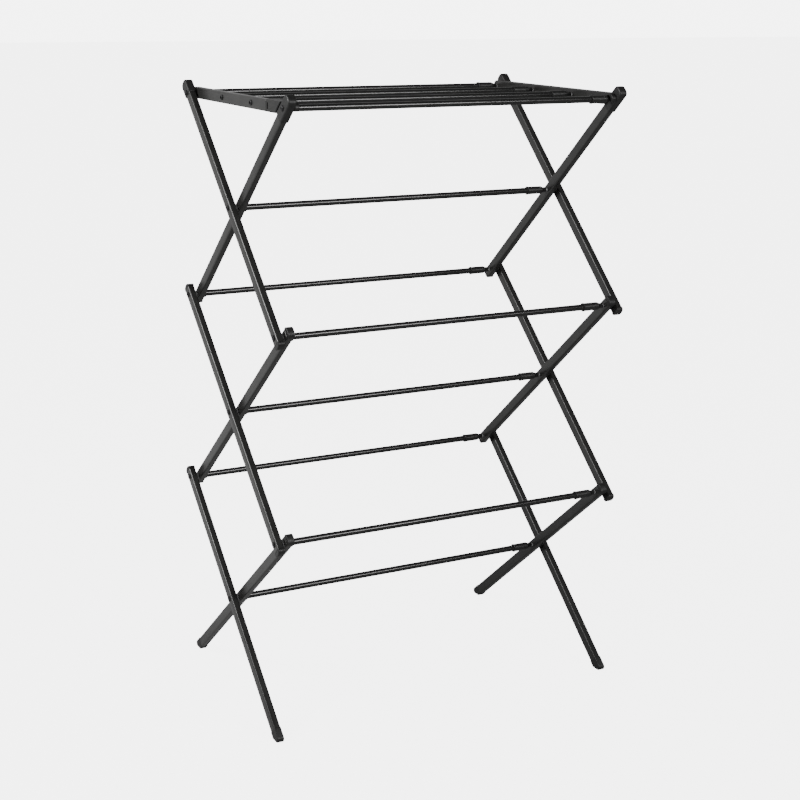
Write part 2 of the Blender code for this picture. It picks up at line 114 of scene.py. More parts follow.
ARM_WIDE = 18.7 * MM
ARM_CORNER = 3.0 * MM
ARM_WALL = 1.0 * MM
ARM_OVERHANG = 19.9 * MM
TUBE_LIP = 0.35 * MM
TUBE_HOLLOW = 12 * MM
LEG_INSET = 1 * MM

PLUG_SHOWN = 8.0 * MM
PLUG_CROWN = 6.6 * MM
PLUG_EDGE = 2.6 * MM

CAP_OVERHANG = 25.1 * MM
CAP_LENGTHS = {"outer": 30.3 * MM, "inner": 49.3 * MM}
CAP_CROWN = 8.6 * MM
CAP_PAD = 1.3 * MM
CAP_EDGE = 2.8 * MM

FOOT_PAD = 0.3 * MM
FOOT_SLEEVE = 12 * MM
FOOT_EDGE = 1.8 * MM
TOE_RADIUS = 6 * MM
TOE_STEPS = 10

BAR_RADIUS = 5.5 * MM
BAR_EDGE = 0.25 * MM
INSERT_RADIUS = 7.2 * MM
INSERT_SHOWN = 2.8 * MM
JOIN_LAP = 0.2 * MM
CONNECTOR_LIP = 2.5 * MM
CONNECTOR_LIP_RADIUS = 7.5 * MM
CONNECTOR_BODY = 28 * MM
CONNECTOR_RADIUS = 6.9 * MM
CONNECTOR_EDGE = 0.5 * MM
CONNECTOR_TAPER = 0.1 * MM
CONNECTOR_ROUND = 0.6 * MM
CONNECTOR_TUBE_LAP = 1 * MM
GROOVE_RADIUS = 6.6 * MM
GROOVE_AT = 5.5 * MM
GROOVE_WIDE = 0.6 * MM
GROOVE_SLANT = 0.2 * MM
CONNECTOR_SHOULDER = 4 * MM
SHOULDER_RADIUS = 6.3 * MM
CONNECTOR_NECK = 9.5 * MM
NECK_RADIUS = 4.5 * MM
NECK_EDGE = 0.4 * MM
SHANK_SHOWN = 3.2 * MM
SHANK_RADIUS = 2.6 * MM
SHANK_EDGE = 0.1 * MM
SHANK_LAP = 1 * MM

BOLT_BORE = 2.6 * MM
HEAD_HEIGHT = 2.0 * MM
RECESS_DEPTH = 1.6 * MM
BOLT_HEAD_RADIUS = 4.6 * MM
BOLT_RECESS = 1.7 * MM
SCREW_HEAD_RADIUS = 4.7 * MM
SCREW_RECESS = 3.3 * MM
SPACER_RADIUS = 3.6 * MM
SHELF_SPACER_RADIUS = 6.5 * MM
WASHER_EDGE = 0.3 * MM

RAIL_WIDE = 19.5 * MM
RAIL_CROWN = 8.5 * MM
RAIL_EDGE = 2.2 * MM
HOOK_NOTCH = 6.3 * MM
HOOK_PLATE = 8 * MM
HOOK_EDGE = 1.0 * MM
SLEEVE_EDGE = 1.6 * MM
SLEEVE_CLEARANCE = 3 * MM
SLEEVE_LAP = 1 * MM
SLOT_FROM_RAIL = 5 * MM
SLOT_WIDE = 3.4 * MM
SLOT_HIGH = 11 * MM
SLOT_DEPTH = 2.2 * MM
SLOT_OVERCUT = 1 * MM
TAB_WIDE = 1.4 * MM
TAB_HIGH = 8.6 * MM
TAB_SHIFT = 0.6 * MM
TAB_FRONT = 1.2 * MM
TAB_BACK = 2.6 * MM

# Sides of the round pieces
BAR_STEPS = 40
INSERT_STEPS = 36
SHANK_STEPS = 24
WASHER_STEPS = 32
HEAD_STEPS = 48

# Least angles, in degrees, between faces whose edge is rounded or kept sharp
CROWNED_BEVEL_ANGLE = 50
CORNER_BEVEL_ANGLE = 35
SMOOTH_ANGLE = 38
CORNER_SMOOTH_ANGLE = 35
HEAD_SMOOTH_ANGLE = 32


# ---------------------------------------------------------------- mesh helpers
def new_piece(name, shape, material, smooth_angle=SMOOTH_ANGLE):
    """Turns a bmesh into an object with a finish, smooth but for its real edges."""
    bmesh.ops.recalc_face_normals(shape, faces=shape.faces)
    mesh = bpy.data.meshes.new(name)
    shape.to_mesh(mesh)
    shape.free()
    mesh.shade_smooth()
    mesh.set_sharp_from_angle(angle=math.radians(smooth_angle))
    mesh.materials.append(material)
    obj = bpy.data.objects.new(name, mesh)
    bpy.context.scene.collection.objects.link(obj)
    return obj


def settle(obj, body, replaced=()):
    """Makes a piece ride on a body and stand for the CAD nodes that it hides."""
    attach(obj, body)
    if replaced:
        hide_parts(*replaced)


def add_ring(shape, points):
    return [shape.verts.new(point) for point in points]


def bridge(shape, first, second):
    count = len(first)
    for i in range(count):
        j = (i + 1) % count
        shape.faces.new((first[i], first[j], second[j], second[i]))


def loft(rings):
    """A closed shape through rings of points, with a flat face at each end."""
    shape = bmesh.new()
    made = [add_ring(shape, ring) for ring in rings]
    for first, second in zip(made, made[1:]):
        bridge(shape, first, second)
    shape.faces.new(list(reversed(made[0])))
    shape.faces.new(made[-1])
    return shape


def rounded_section(thick, wide, radius, per_corner=6):
    """A rounded rectangle about the origin, thick along X and wide along Y."""
    points = []
    corners = ((1, 1, 0), (-1, 1, 90), (-1, -1, 180), (1, -1, 270))
    for sign_x, sign_y, start in corners:
        middle_x = sign_x * (thick / 2 - radius)
        middle_y = sign_y * (wide / 2 - radius)
        for step in range(per_corner + 1):
            turn = math.radians(start + 90 * step / per_corner)
            points.append((middle_x + radius * math.cos(turn), middle_y + radius * math.sin(turn)))
    return points


def arm_ring(inset, level):
    """An arm's section at a level along Z, shrunk by an inset."""
    section = rounded_section(ARM_THICK - 2 * inset, ARM_WIDE - 2 * inset, ARM_CORNER - inset)
    return [(x, y, level) for x, y in section]


def crowned_outline(half, low, high, crown, steps=18, exponent=2.5):
    """A strip in side view, square at its low end and crowned at its high end, as (y, z) points.
    The crown is half of a superellipse, so it leaves the sides smoothly and is nearly flat on top."""
    power = 2 / exponent
    points = [(half, low), (-half, low)]
    for step in range(steps + 1):
        turn = math.pi * (1 - step / steps)
        across = math.copysign(abs(math.cos(turn)) ** power, math.cos(turn))
        points.append((half * across, high - crown + crown * math.sin(turn) ** power))
    return points


def raised_outline(outline, low, high):
    """A (y, z) outline raised along X."""
    shape = bmesh.new()
    face = shape.faces.new([shape.verts.new((low, y, z)) for y, z in outline])
    raised = bmesh.ops.extrude_face_region(shape, geom=[face])
    moved = [item for item in raised["geom"] if isinstance(item, bmesh.types.BMVert)]
    bmesh.ops.translate(shape, verts=moved, vec=(high - low, 0, 0))
    return shape


def add_bevel(obj, width, segments, angle):
    bevel = obj.modifiers.new("rounded_edges", "BEVEL")
    bevel.width = width
    bevel.segments = segments
    bevel.limit_method = "ANGLE"
    bevel.angle_limit = math.radians(angle)
    bevel.harden_normals = True


def turned(profile, steps, closed=False):
    """A turned shape about Z from (radius, z) pairs. A closed profile makes a ring with a bore."""
    shape = bmesh.new()
    rings = []
    for radius, level in profile:
        if radius == 0:
            rings.append([shape.verts.new((0, 0, level))])
            continue
        points = []
        for step in range(steps):
            turn = 2 * math.pi * step / steps
            points.append((radius * math.cos(turn), radius * math.sin(turn), level))
        rings.append(add_ring(shape, points))
    pairs = list(zip(rings, rings[1:]))
    if closed:
        pairs.append((rings[-1], rings[0]))
    for first, second in pairs:
        if len(first) == 1 or len(second) == 1:
            point, ring = (first[0], second) if len(first) == 1 else (second[0], first)
            for i in range(steps):
                shape.faces.new((ring[i], ring[(i + 1) % steps], point))
            continue
        bridge(shape, first, second)
    return shape


def chamfered(radius, low, high, edge):
    """Profile points of a rod's outer side with its two edges broken."""
    return [(radius - edge, low), (radius, low + edge), (radius, high - edge), (radius - edge, high)]


def rod(radius, low, high, edge, steps):
    """A solid rod about Z with its edges broken."""
    return turned([(0, low), *chamfered(radius, low, high, edge), (0, high)], steps)


def tilt_matrix(origin, direction, x):
    """Local Z along a (y, z) direction, with local X kept along the rack's X."""
    angle = math.atan2(-direction[0], direction[1])
    return Matrix.Translation((x, origin[0], origin[1])) @ Matrix.Rotation(angle, 4, "X")


def outward_matrix(side, x, point):
    """Local Z pointing outwards along X on one side of the rack."""
    return Matrix.Translation((side * x, point[0], point[1])) @ Matrix.Rotation(side * math.pi / 2, 4, "Y")


def x_span(side, first, second):
    """Two distances from the rack's middle as a low and a high x on one side."""
    return sorted((side * first, side * second))


# ---------------------------------------------------------------- finishes
# Noise scales, per metre, and the stretch of the patterns that run along a piece
POWDER_MOTTLE = 45
POWDER_STREAKS = 260
POWDER_STREAK_STRETCH = (1, 1, 0.06)
POWDER_PEEL = 700
PLASTIC_CLOUDS = 70
PLASTIC_PATCHES = 420
PLASTIC_GRAIN = 1500
STEEL_FILM = 600
STEEL_TURNING = 2500
STEEL_TURNING_STRETCH = (1, 1, 5)
MOTTLE_SPAN = (0.35, 0.65)
NOISE_SPAN = (0.3, 0.7)
PAINT_DEPTH = 0.3 * MM
STEEL_DEPTH = 0.2 * MM
GRAIN_STRENGTH = 0.35
TURNING_STRENGTH = 0.15


class Finish:
    """A Principled material built up node by node, in object coordinates."""

    def __init__(self, name, metallic, specular=0.5):
        self.material = bpy.data.materials.new(name)
        self.material.use_nodes = True
        self.tree = self.material.node_tree
        self.shader = self.tree.nodes["Principled BSDF"]
        self.shader.inputs["Metallic"].default_value = metallic
        self.shader.inputs["Specular IOR Level"].default_value = specular
        self.place = self.add("ShaderNodeTexCoord").outputs["Object"]

    def add(self, kind):
        return self.tree.nodes.new(kind)

    def link(self, source, target):
        self.tree.links.new(source, target)

    def noise(self, scale, detail, stretch=(1, 1, 1)):
        mapping = self.add("ShaderNodeMapping")
        mapping.inputs["Scale"].default_value = stretch
        self.link(self.place, mapping.inputs["Vector"])
        texture = self.add("ShaderNodeTexNoise")
        texture.inputs["Scale"].default_value = scale
        texture.inputs["Detail"].default_value = detail
        self.link(mapping.outputs["Vector"], texture.inputs["Vector"])
        return texture.outputs["Fac"]

    def remap(self, value, span, low, high):
        """A value between low and high, as the noise goes through its span."""
        node = self.add("ShaderNodeMapRange")
        node.inputs["From Min"].default_value, node.inputs["From Max"].default_value = span
        node.inputs["To Min"].default_value = low
        node.inputs["To Max"].default_value = high
        self.link(value, node.inputs["Value"])
        return node.outputs["Result"]

    def color_between(self, factor, dark, light):
        node = self.add("ShaderNodeMix")
        node.data_type = "RGBA"
        node.inputs["A"].default_value = (*dark, 1)
        node.inputs["B"].default_value = (*light, 1)
        self.link(factor, node.inputs["Factor"])
        self.link(node.outputs["Result"], self.shader.inputs["Base Color"])

    def roughness_from(self, output):
        self.link(output, self.shader.inputs["Roughness"])

    def bump(self, height, strength, depth):
        node = self.add("ShaderNodeBump")
        node.inputs["Strength"].default_value = strength
        node.inputs["Distance"].default_value = depth
        self.link(height, node.inputs["Height"])
        self.link(node.outputs["Normal"], self.shader.inputs["Normal"])


def powder_coat(name, dark, light, rough, peel):
    """Satin powder coat: orange-peel grain, faint mottling and a few rubbed streaks along the piece."""
    finish = Finish(name, metallic=0.0)
    mottle = finish.noise(POWDER_MOTTLE, 4)
    finish.color_between(finish.remap(mottle, MOTTLE_SPAN, 0, 1), dark, light)
    streaks = finish.noise(POWDER_STREAKS, 3, POWDER_STREAK_STRETCH)
    finish.roughness_from(finish.remap(streaks, NOISE_SPAN, rough - 0.04, rough + 0.06))
    finish.bump(finish.noise(POWDER_PEEL, 2), peel, PAINT_DEPTH)
    return finish.material


def moulded_plastic(name, dark, light, rough):
    """Matte moulded plastic with a fine spark-eroded grain."""
    finish = Finish(name, metallic=0.0, specular=0.4)
    clouds = finish.noise(PLASTIC_CLOUDS, 3)
    finish.color_between(finish.remap(clouds, NOISE_SPAN, 0, 1), dark, light)
    patches = finish.noise(PLASTIC_PATCHES, 2)
    finish.roughness_from(finish.remap(patches, NOISE_SPAN, rough - 0.06, rough + 0.08))
    finish.bump(finish.noise(PLASTIC_GRAIN, 2), GRAIN_STRENGTH, PAINT_DEPTH)
    return finish.material


def plated_steel(name, dark, light, rough, metallic):
    """Zinc-plated or blackened steel with turning marks and a cloudy film."""
    finish = Finish(name, metallic=metallic)
    film = finish.noise(STEEL_FILM, 3)
    finish.color_between(finish.remap(film, NOISE_SPAN, 0, 1), dark, light)
    finish.roughness_from(finish.remap(film, NOISE_SPAN, rough - 0.05, rough + 0.12))
    turning = finish.noise(STEEL_TURNING, 1, STEEL_TURNING_STRETCH)
    finish.bump(turning, TURNING_STRENGTH, STEEL_DEPTH)
    return finish.material


PLASTIC_DARK = (0.010, 0.010, 0.010)
PLASTIC_LIGHT = (0.015, 0.015, 0.0145)
ARM_PAINT = powder_coat("arm_powder_coat", (0.014, 0.014, 0.0135), (0.021, 0.021, 0.020), 0.31, 0.16)
BAR_PAINT = powder_coat("bar_powder_coat", (0.009, 0.009, 0.009), (0.013, 0.013, 0.0125), 0.22, 0.01)
PLASTIC = moulded_plastic("black_plastic", PLASTIC_DARK, PLASTIC_LIGHT, 0.46)
CONNECTOR = moulded_plastic("connector_plastic", PLASTIC_DARK, PLASTIC_LIGHT, 0.36)
BLACK_STEEL = plated_steel("blackened_steel", (0.022, 0.022, 0.023), (0.038, 0.038, 0.040), 0.36, 0.7)
ZINC = plated_steel("zinc_plate", (0.84, 0.85, 0.86), (0.93, 0.93, 0.94), 0.32, 0.1)


# ---------------------------------------------------------------- arms
def layer_middle(layer, side):
    low, high = LAYERS[layer]
    return side * (low + high) / 2


def leg_low_end(side_name, layer, upper):
    """The lowest point of a leg's CAD tube, brought onto the leg's centre line."""
    cross = PIVOTS["leg_cross"]
    direction = (cross - PIVOTS[upper]).normalized()
    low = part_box(f"leg_{layer}_{side_name}")[0]
    rise = ARM_WIDE / 2 * abs(direction.x)
    return cross + direction * ((low.z + rise - cross.y) / direction.y)


def add_tube(node, layer, side, origin, direction, low, high):
    """The steel tube of an arm, hollow at both ends."""
    rings = [
        arm_ring(ARM_WALL, low + TUBE_HOLLOW),
        arm_ring(ARM_WALL, low),
        arm_ring(TUBE_LIP, low),
        arm_ring(0, low + TUBE_LIP),
        arm_ring(0, high - TUBE_LIP),
        arm_ring(TUBE_LIP, high),
        arm_ring(ARM_WALL, high),
        arm_ring(ARM_WALL, high - TUBE_HOLLOW),
    ]
    obj = new_piece(node + "_tube", loft(rings), ARM_PAINT)
    obj.matrix_world = tilt_matrix(origin, direction, layer_middle(layer, side))
    settle(obj, BODY_OF[node], [node])


def add_plug(name, node, layer, side, origin, direction):
    """The plastic plug in a tube's end, with its origin at the tube's end and its direction out of it."""
    outline = crowned_outline(ARM_WIDE / 2, GAP, PLUG_SHOWN, PLUG_CROWN)
    shape = raised_outline(outline, -ARM_THICK / 2, ARM_THICK / 2)
    obj = new_piece(name, shape, PLASTIC)
    obj.data.transform(tilt_matrix(origin, direction, layer_middle(layer, side)))
    add_bevel(obj, PLUG_EDGE, segments=5, angle=CROWNED_BEVEL_ANGLE)
    settle(obj, BODY_OF[node])


def add_arm(side_name, group, layer, start, end, capped):
    """An arm's tube with the plugs in its plain ends. A leg has no start pivot: it ends in its foot."""
    side = SIDES[side_name]
    node = f"{group}_{layer}_{side_name}"
    is_leg = start is None
    origin = leg_low_end(side_name, layer, end) if is_leg else PIVOTS[start]
    reach = PIVOTS[end] - origin
    length = reach.length
    direction = reach / length
    low = LEG_INSET if is_leg else PLUG_SHOWN - ARM_OVERHANG
    high = length + ARM_OVERHANG - PLUG_SHOWN
    add_tube(node, layer, side, origin, direction, low, high)
    if not is_leg:
        add_plug(node + "_low_plug", node, layer, side, origin + direction * low, -direction)
    if not capped:
        add_plug(node + "_top_plug", node, layer, side, origin + direction * high, direction)


# Group, layer, start and end pivot, and whether a cap covers the top end
ARMS = (
    ("leg", "outer", None, "lower_back", False),
    ("leg", "inner", None, "lower_front", False),
    ("mid", "outer", "lower_front", "upper_back", False),
    ("mid", "inner", "lower_back", "upper_front", False),
    ("top", "outer", "upper_front", "top_back", True),
    ("top", "inner", "upper_back", "top_front", True),
)


# ---------------------------------------------------------------- plastic caps and feet
def add_cap(layer, side_name, pivot):
    """The sleeve cap over an arm's top end."""
    node = f"cap_{layer}_{side_name}"
    side = SIDES[side_name]
    direction = (PIVOTS[pivot] - PIVOTS["top_cross"]).normalized()
    half = ARM_WIDE / 2 + CAP_PAD
    reach = ARM_THICK / 2 + CAP_PAD
    outline = crowned_outline(half, CAP_OVERHANG - CAP_LENGTHS[layer], CAP_OVERHANG, CAP_CROWN)
    obj = new_piece(node + "_sleeve", raised_outline(outline, -reach, reach), PLASTIC)
    obj.data.transform(tilt_matrix(PIVOTS[pivot], direction, layer_middle(layer, side)))
    add_bevel(obj, CAP_EDGE, segments=5, angle=CROWNED_BEVEL_ANGLE)
    settle(obj, BODY_OF[node], [node])


def foot_outline(ground, direction):
    """A foot in side view: the leg's slant, level at the floor, with a round toe at its sharp corner."""
    half = ARM_WIDE / 2 + FOOT_PAD
    across = Vector((-direction.y, direction.x))
    if across.y < 0:
        across = -across
    high_side = ground + across * half
    toe = high_side - direction * (high_side.y / direction.y)
    low_side = ground - across * half
    heel = low_side - direction * (low_side.y / direction.y)
    top = ground + direction * (FOOT_SLEEVE + half * abs(direction.x) / direction.y)
    slope = math.atan2(direction.y, abs(direction.x))
    inward = 1 if heel.x > toe.x else -1
    centre = Vector((toe.x + inward * TOE_RADIUS / math.tan(slope / 2), TOE_RADIUS))
    arc = []
    for step in range(TOE_STEPS + 1):
        turn = (math.pi - slope) * step / TOE_STEPS
        arc.append(centre + TOE_RADIUS * Vector((-inward * math.sin(turn), -math.cos(turn))))
    return [heel, *arc, top + across * half, top - across * half]


def add_foot(layer, side_name, upper):
    """The plastic boot at a leg's lower end."""
    node = f"foot_{layer}_{side_name}"
    low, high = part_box(node)
    cross = PIVOTS["leg_cross"]
    direction = (PIVOTS[upper] - cross).normalized()
    ground = cross - direction * (cross.y / direction.y)
    outline = [point - ground for point in foot_outline(ground, direction)]
    middle_x = (low.x + high.x) / 2
    reach = ARM_THICK / 2 + FOOT_PAD
    shape = raised_outline(outline, middle_x - reach, middle_x + reach)
    obj = new_piece(node + "_boot", shape, PLASTIC, CORNER_SMOOTH_ANGLE)
    obj.location = (0, *ground)
    add_bevel(obj, FOOT_EDGE, segments=4, angle=CORNER_BEVEL_ANGLE)
    settle(obj, BODY_OF[node], [node])


# ---------------------------------------------------------------- bars
def connector_profile(lip_low, body_low, body_high, neck_low, neck_high):
    """A connector from its lip over the tube, past a snap groove, to its neck at the bolt."""
    groove_low = body_high - GROOVE_AT - GROOVE_WIDE / 2
    groove_high = groove_low + GROOVE_WIDE
    return [
        (0, lip_low),
        *chamfered(CONNECTOR_LIP_RADIUS, lip_low, body_low, CONNECTOR_EDGE),
        (CONNECTOR_LIP_RADIUS - CONNECTOR_EDGE, body_low + CONNECTOR_TAPER),
        (CONNECTOR_RADIUS, groove_low - GROOVE_SLANT),
        (GROOVE_RADIUS, groove_low),
        (GROOVE_RADIUS, groove_high),
        (CONNECTOR_RADIUS, groove_high + GROOVE_SLANT),
        (CONNECTOR_RADIUS - CONNECTOR_TAPER, body_high - CONNECTOR_ROUND),
        (SHOULDER_RADIUS, body_high),
        (NECK_RADIUS + NECK_EDGE, neck_low - NECK_EDGE),
        (NECK_RADIUS, neck_low + NECK_EDGE),
        (NECK_RADIUS, neck_high - NECK_EDGE),
        (NECK_RADIUS - NECK_EDGE, neck_high),
        (0, neck_high),
    ]


def add_bar(bar):
    """A bar from left to right: end insert, painted tube, connector and the bright bolt shank at the arm."""
    node = "bar_" + bar
    low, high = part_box(node)
    length = high.x - low.x
    body = BODY_OF[node]
    place = Matrix.Translation((low.x, *PIVOTS[bar])) @ Matrix.Rotation(math.pi / 2, 4, "Y")

    def add_piece(suffix, shape, material, replaced=()):
        obj = new_piece(node + suffix, shape, material)
        obj.matrix_world = place
        settle(obj, body, replaced)

    neck_low = length - CONNECTOR_NECK
    body_high = neck_low - CONNECTOR_SHOULDER
    body_low = body_high - CONNECTOR_BODY
    lip_low = body_low - CONNECTOR_LIP
    neck_high = length - SHANK_SHOWN
    has_insert = bar != "top_front"
    tube_low = INSERT_SHOWN - JOIN_LAP if has_insert else 0
    tube = rod(BAR_RADIUS, tube_low, lip_low + CONNECTOR_TUBE_LAP, BAR_EDGE, BAR_STEPS)
    add_piece("_tube", tube, BAR_PAINT, [node])
    if has_insert:
        insert = rod(INSERT_RADIUS, 0, INSERT_SHOWN, CONNECTOR_EDGE, INSERT_STEPS)
        add_piece("_insert", insert, PLASTIC)
    connector = turned(connector_profile(lip_low, body_low, body_high, neck_low, neck_high), BAR_STEPS)
    add_piece("_connector", connector, CONNECTOR)
    shank = rod(SHANK_RADIUS, neck_high - SHANK_LAP, length, SHANK_EDGE, SHANK_STEPS)
    add_piece("_shank", shank, ZINC)


# ---------------------------------------------------------------- bolts, screws and washers
HEAD_RIM = 0.22
HEAD_ROUNDNESS = 0.8
HEAD_TURNS = (25, 45, 65)
RECESS_TAPER = 0.9
RECESS_POINT = 1.15


def hexagon_reach(turn, size):
    """How far a hexagon of this corner radius reaches at an angle."""
    return size * math.cos(math.pi / 6) / math.cos((turn % (math.pi / 3)) - math.pi / 6)


def domed_head(radius, recess):
    """A button head with a hexagon recess in its top."""
    shape = bmesh.new()
    turns = [2 * math.pi * step / HEAD_STEPS for step in range(HEAD_STEPS)]
    rounds = [(radius, 0.0), (radius, HEAD_RIM * HEAD_HEIGHT)]
    for degrees in HEAD_TURNS:
        angle = math.radians(degrees)
        level = HEAD_HEIGHT * (HEAD_RIM + (1 - HEAD_RIM) * math.sin(angle))
        rounds.append((radius * math.cos(angle) ** HEAD_ROUNDNESS, level))
    rings = [[pair] * HEAD_STEPS for pair in rounds]
    rings.append([(hexagon_reach(turn, recess), HEAD_HEIGHT) for turn in turns])
    rings.append([(RECESS_TAPER * reach, HEAD_HEIGHT - RECESS_DEPTH) for reach, _ in rings[-1]])
    made = []
    for ring in rings:
        points = [(r * math.cos(turn), r * math.sin(turn), z) for (r, z), turn in zip(ring, turns)]
        made.append(add_ring(shape, points))
    for first, second in zip(made, made[1:]):
        bridge(shape, first, second)
    shape.faces.new(list(reversed(made[0])))
    bottom = shape.verts.new((0, 0, HEAD_HEIGHT - RECESS_POINT * RECESS_DEPTH))
    for i in range(HEAD_STEPS):
        shape.faces.new((made[-1][i], made[-1][(i + 1) % HEAD_STEPS], bottom))
    return shape


def add_fastener(kind, bar, side_name, radius, recess):
    """The head of a bolt or screw, seated where its CAD head is."""
    node = f"{kind}_{bar}_{side_name}"
    side = SIDES[side_name]
    low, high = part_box(node)
    outer_end = high.x if side > 0 else -low.x
    obj = new_piece(node + "_head", domed_head(radius, recess), BLACK_STEEL, HEAD_SMOOTH_ANGLE)
    obj.matrix_world = outward_matrix(side, outer_end - HEAD_HEIGHT, PIVOTS[bar])
    settle(obj, BODY_OF[node], [node])


def add_washer(name, side, point, low, high, radius, material):
    """A ring on a bolt, from a low to a high distance from the rack's middle."""
    profile = [(BOLT_BORE, low), *chamfered(radius, low, high, WASHER_EDGE), (BOLT_BORE, high)]
    obj = new_piece(name, turned(profile, WASHER_STEPS, closed=True), material)
    obj.matrix_world = outward_matrix(side, 0, point)
    return obj


ARM_SPACERS = {
    "leg": ("leg_cross", "lower_front"),
    "mid": ("lower_back", "mid_cross", "upper_front"),
    "top": ("upper_back", "top_cross"),
}


def add_arm_spacers(side_name):
    """The short sleeves that hold the outer and inner arms apart."""
    low, high = INNER_FACE + GAP, OUTER_IN - GAP
    for group, pivots in ARM_SPACERS.items():
        for pivot in pivots:
            name = f"spacer_{pivot}_{side_name}"
            ring = add_washer(name, SIDES[side_name], PIVOTS[pivot], low, high, SPACER_RADIUS, ZINC)
            settle(ring, BODY_OF[f"{group}_inner_{side_name}"])


# ---------------------------------------------------------------- shelf
def add_rail(side_name):
    """A shelf rail, crowned at its back end, where it turns on the top back bar's bolt."""
    node = f"shelf_rail_{side_name}"
    low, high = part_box(node)
    pivot = PIVOTS["top_back"]
    reach = (RAIL_FACE - RAIL_IN) / 2
    outline = crowned_outline(RAIL_WIDE / 2, low.y - pivot.x, high.y - pivot.x, RAIL_CROWN)
    obj = new_piece(node + "_tube", raised_outline(outline, -reach, reach), ARM_PAINT)
    obj.matrix_world = tilt_matrix(pivot, (1, 0), SIDES[side_name] * (RAIL_IN + RAIL_FACE) / 2)
    add_bevel(obj, RAIL_EDGE, segments=5, angle=CROWNED_BEVEL_ANGLE)
    settle(obj, BODY_OF[node], [node])


HOOK_LEAVE = math.radians(25)
HOOK_ARC_STEPS = 14
HOOK_NOSE_STEPS = 6
HOOK_MOUTH = 2.6
HOOK_TIP_LEVEL = 0.5
HOOK_TIP_SHARE = 0.35


def hook_outline(start, bar, nose):
    """The hook's plate in side view, about the shelf's pivot: the notch goes round the top front bar."""
    half = RAIL_WIDE / 2
    arc = []
    for step in range(HOOK_ARC_STEPS + 1):
        turn = HOOK_LEAVE + (math.pi - HOOK_LEAVE) * step / HOOK_ARC_STEPS
        arc.append((bar + HOOK_NOTCH * math.cos(turn), HOOK_NOTCH * math.sin(turn)))
    rounding = []
    for step in range(HOOK_NOSE_STEPS + 1):
        turn = math.pi * (1 - step / (2 * HOOK_NOSE_STEPS))
        rounding.append((nose + half + half * math.cos(turn), half * math.sin(turn)))
    return [
        (start, half),
        (start, -half),
        (bar + HOOK_MOUTH * HOOK_NOTCH, -half),
        *arc,
        (bar - HOOK_NOTCH, -HOOK_TIP_LEVEL * half),
        (nose + HOOK_TIP_SHARE * (bar - HOOK_NOTCH - nose), -HOOK_TIP_LEVEL * half),
        *rounding,
    ]


def sleeve_outline(start):
    """The hook's sleeve in side view: it ends in a slant beside the front arm's cap."""
    slope = (PIVOTS["top_front"] - PIVOTS["top_cross"]).normalized()
    across = Vector((-slope.y, slope.x))
    if across.x < 0:
        across = -across
    edge = PIVOTS["top_front"] - PIVOTS["top_back"] + across * (ARM_WIDE / 2 + CAP_PAD + SLEEVE_CLEARANCE)
    half = RAIL_WIDE / 2
    upper = edge.x + slope.x * (half - edge.y) / slope.y
    lower = edge.x + slope.x * (-half - edge.y) / slope.y
    return [(start, half), (start, -half), (lower, -half), (upper, half)]


def slot_outline(middle, wide, high, steps=6):
    """An upright slot with round ends, as (y, z) points."""
    reach = high / 2 - wide / 2
    points = []
    for end, first_turn in ((1, 0), (-1, 180)):
        for step in range(steps + 1):
            turn = math.radians(first_turn + 180 * step / steps)
            points.append((middle + wide / 2 * math.cos(turn), end * reach + wide / 2 * math.sin(turn)))
    return points


def cut_slot(obj, outline, side):
    """Cuts a blind slot into a piece's outer face."""
    span = x_span(side, RAIL_FACE - SLOT_DEPTH, RAIL_FACE + SLOT_OVERCUT)
    cutter = new_piece(obj.name + "_slot", raised_outline(outline, *span), PLASTIC)
    cutter.location = obj.location
    cut = obj.modifiers.new("slot", "BOOLEAN")
    cut.operation = "DIFFERENCE"
    cut.object = cutter
    bpy.context.view_layer.update()
    graph = bpy.context.evaluated_depsgraph_get()
    mesh = bpy.data.meshes.new_from_object(obj.evaluated_get(graph))
    obj.modifiers.remove(cut)
    obj.data = mesh
    bpy.data.objects.remove(cutter)


def add_hook(side_name):
    """The rail's plastic end: a sleeve in line with the rail and a plate that steps in past the arm."""
    node = f"shelf_hook_{side_name}"
    side = SIDES[side_name]
    low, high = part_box(node)
    pivot = PIVOTS["top_back"]
    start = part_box(f"shelf_rail_{side_name}")[0].y - pivot.x - JOIN_LAP
    bar = PIVOTS["top_front"].x - pivot.x
    nose = low.y - pivot.x
    plate_in = min(abs(low.x), abs(high.x))
    plate_out = plate_in + HOOK_PLATE
    plate = raised_outline(hook_outline(start, bar, nose), *x_span(side, plate_in, plate_out))
    plate_obj = new_piece(node + "_plate", plate, PLASTIC, CORNER_SMOOTH_ANGLE)
    plate_obj.location = (0, *pivot)
    add_bevel(plate_obj, HOOK_EDGE, segments=3, angle=CORNER_BEVEL_ANGLE)
    settle(plate_obj, BODY_OF[node], [node])

    sleeve = raised_outline(sleeve_outline(start), *x_span(side, plate_out - SLEEVE_LAP, RAIL_FACE))
    sleeve_obj = new_piece(node + "_sleeve", sleeve, PLASTIC, CORNER_SMOOTH_ANGLE)
    sleeve_obj.location = (0, *pivot)
    add_bevel(sleeve_obj, SLEEVE_EDGE, segments=4, angle=CORNER_BEVEL_ANGLE)
    settle(sleeve_obj, BODY_OF[node])

    slot_y = start - SLOT_FROM_RAIL
    cut_slot(sleeve_obj, slot_outline(slot_y, SLOT_WIDE, SLOT_HIGH), side)
    tab_outline = slot_outline(slot_y - TAB_SHIFT, TAB_WIDE, TAB_HIGH)
    tab = raised_outline(tab_outline, *x_span(side, RAIL_FACE - TAB_BACK, RAIL_FACE - TAB_FRONT))
    tab_obj = new_piece(node + "_snap_tab", tab, CONNECTOR)
    tab_obj.location = (0, *pivot)
    settle(tab_obj, BODY_OF[node])


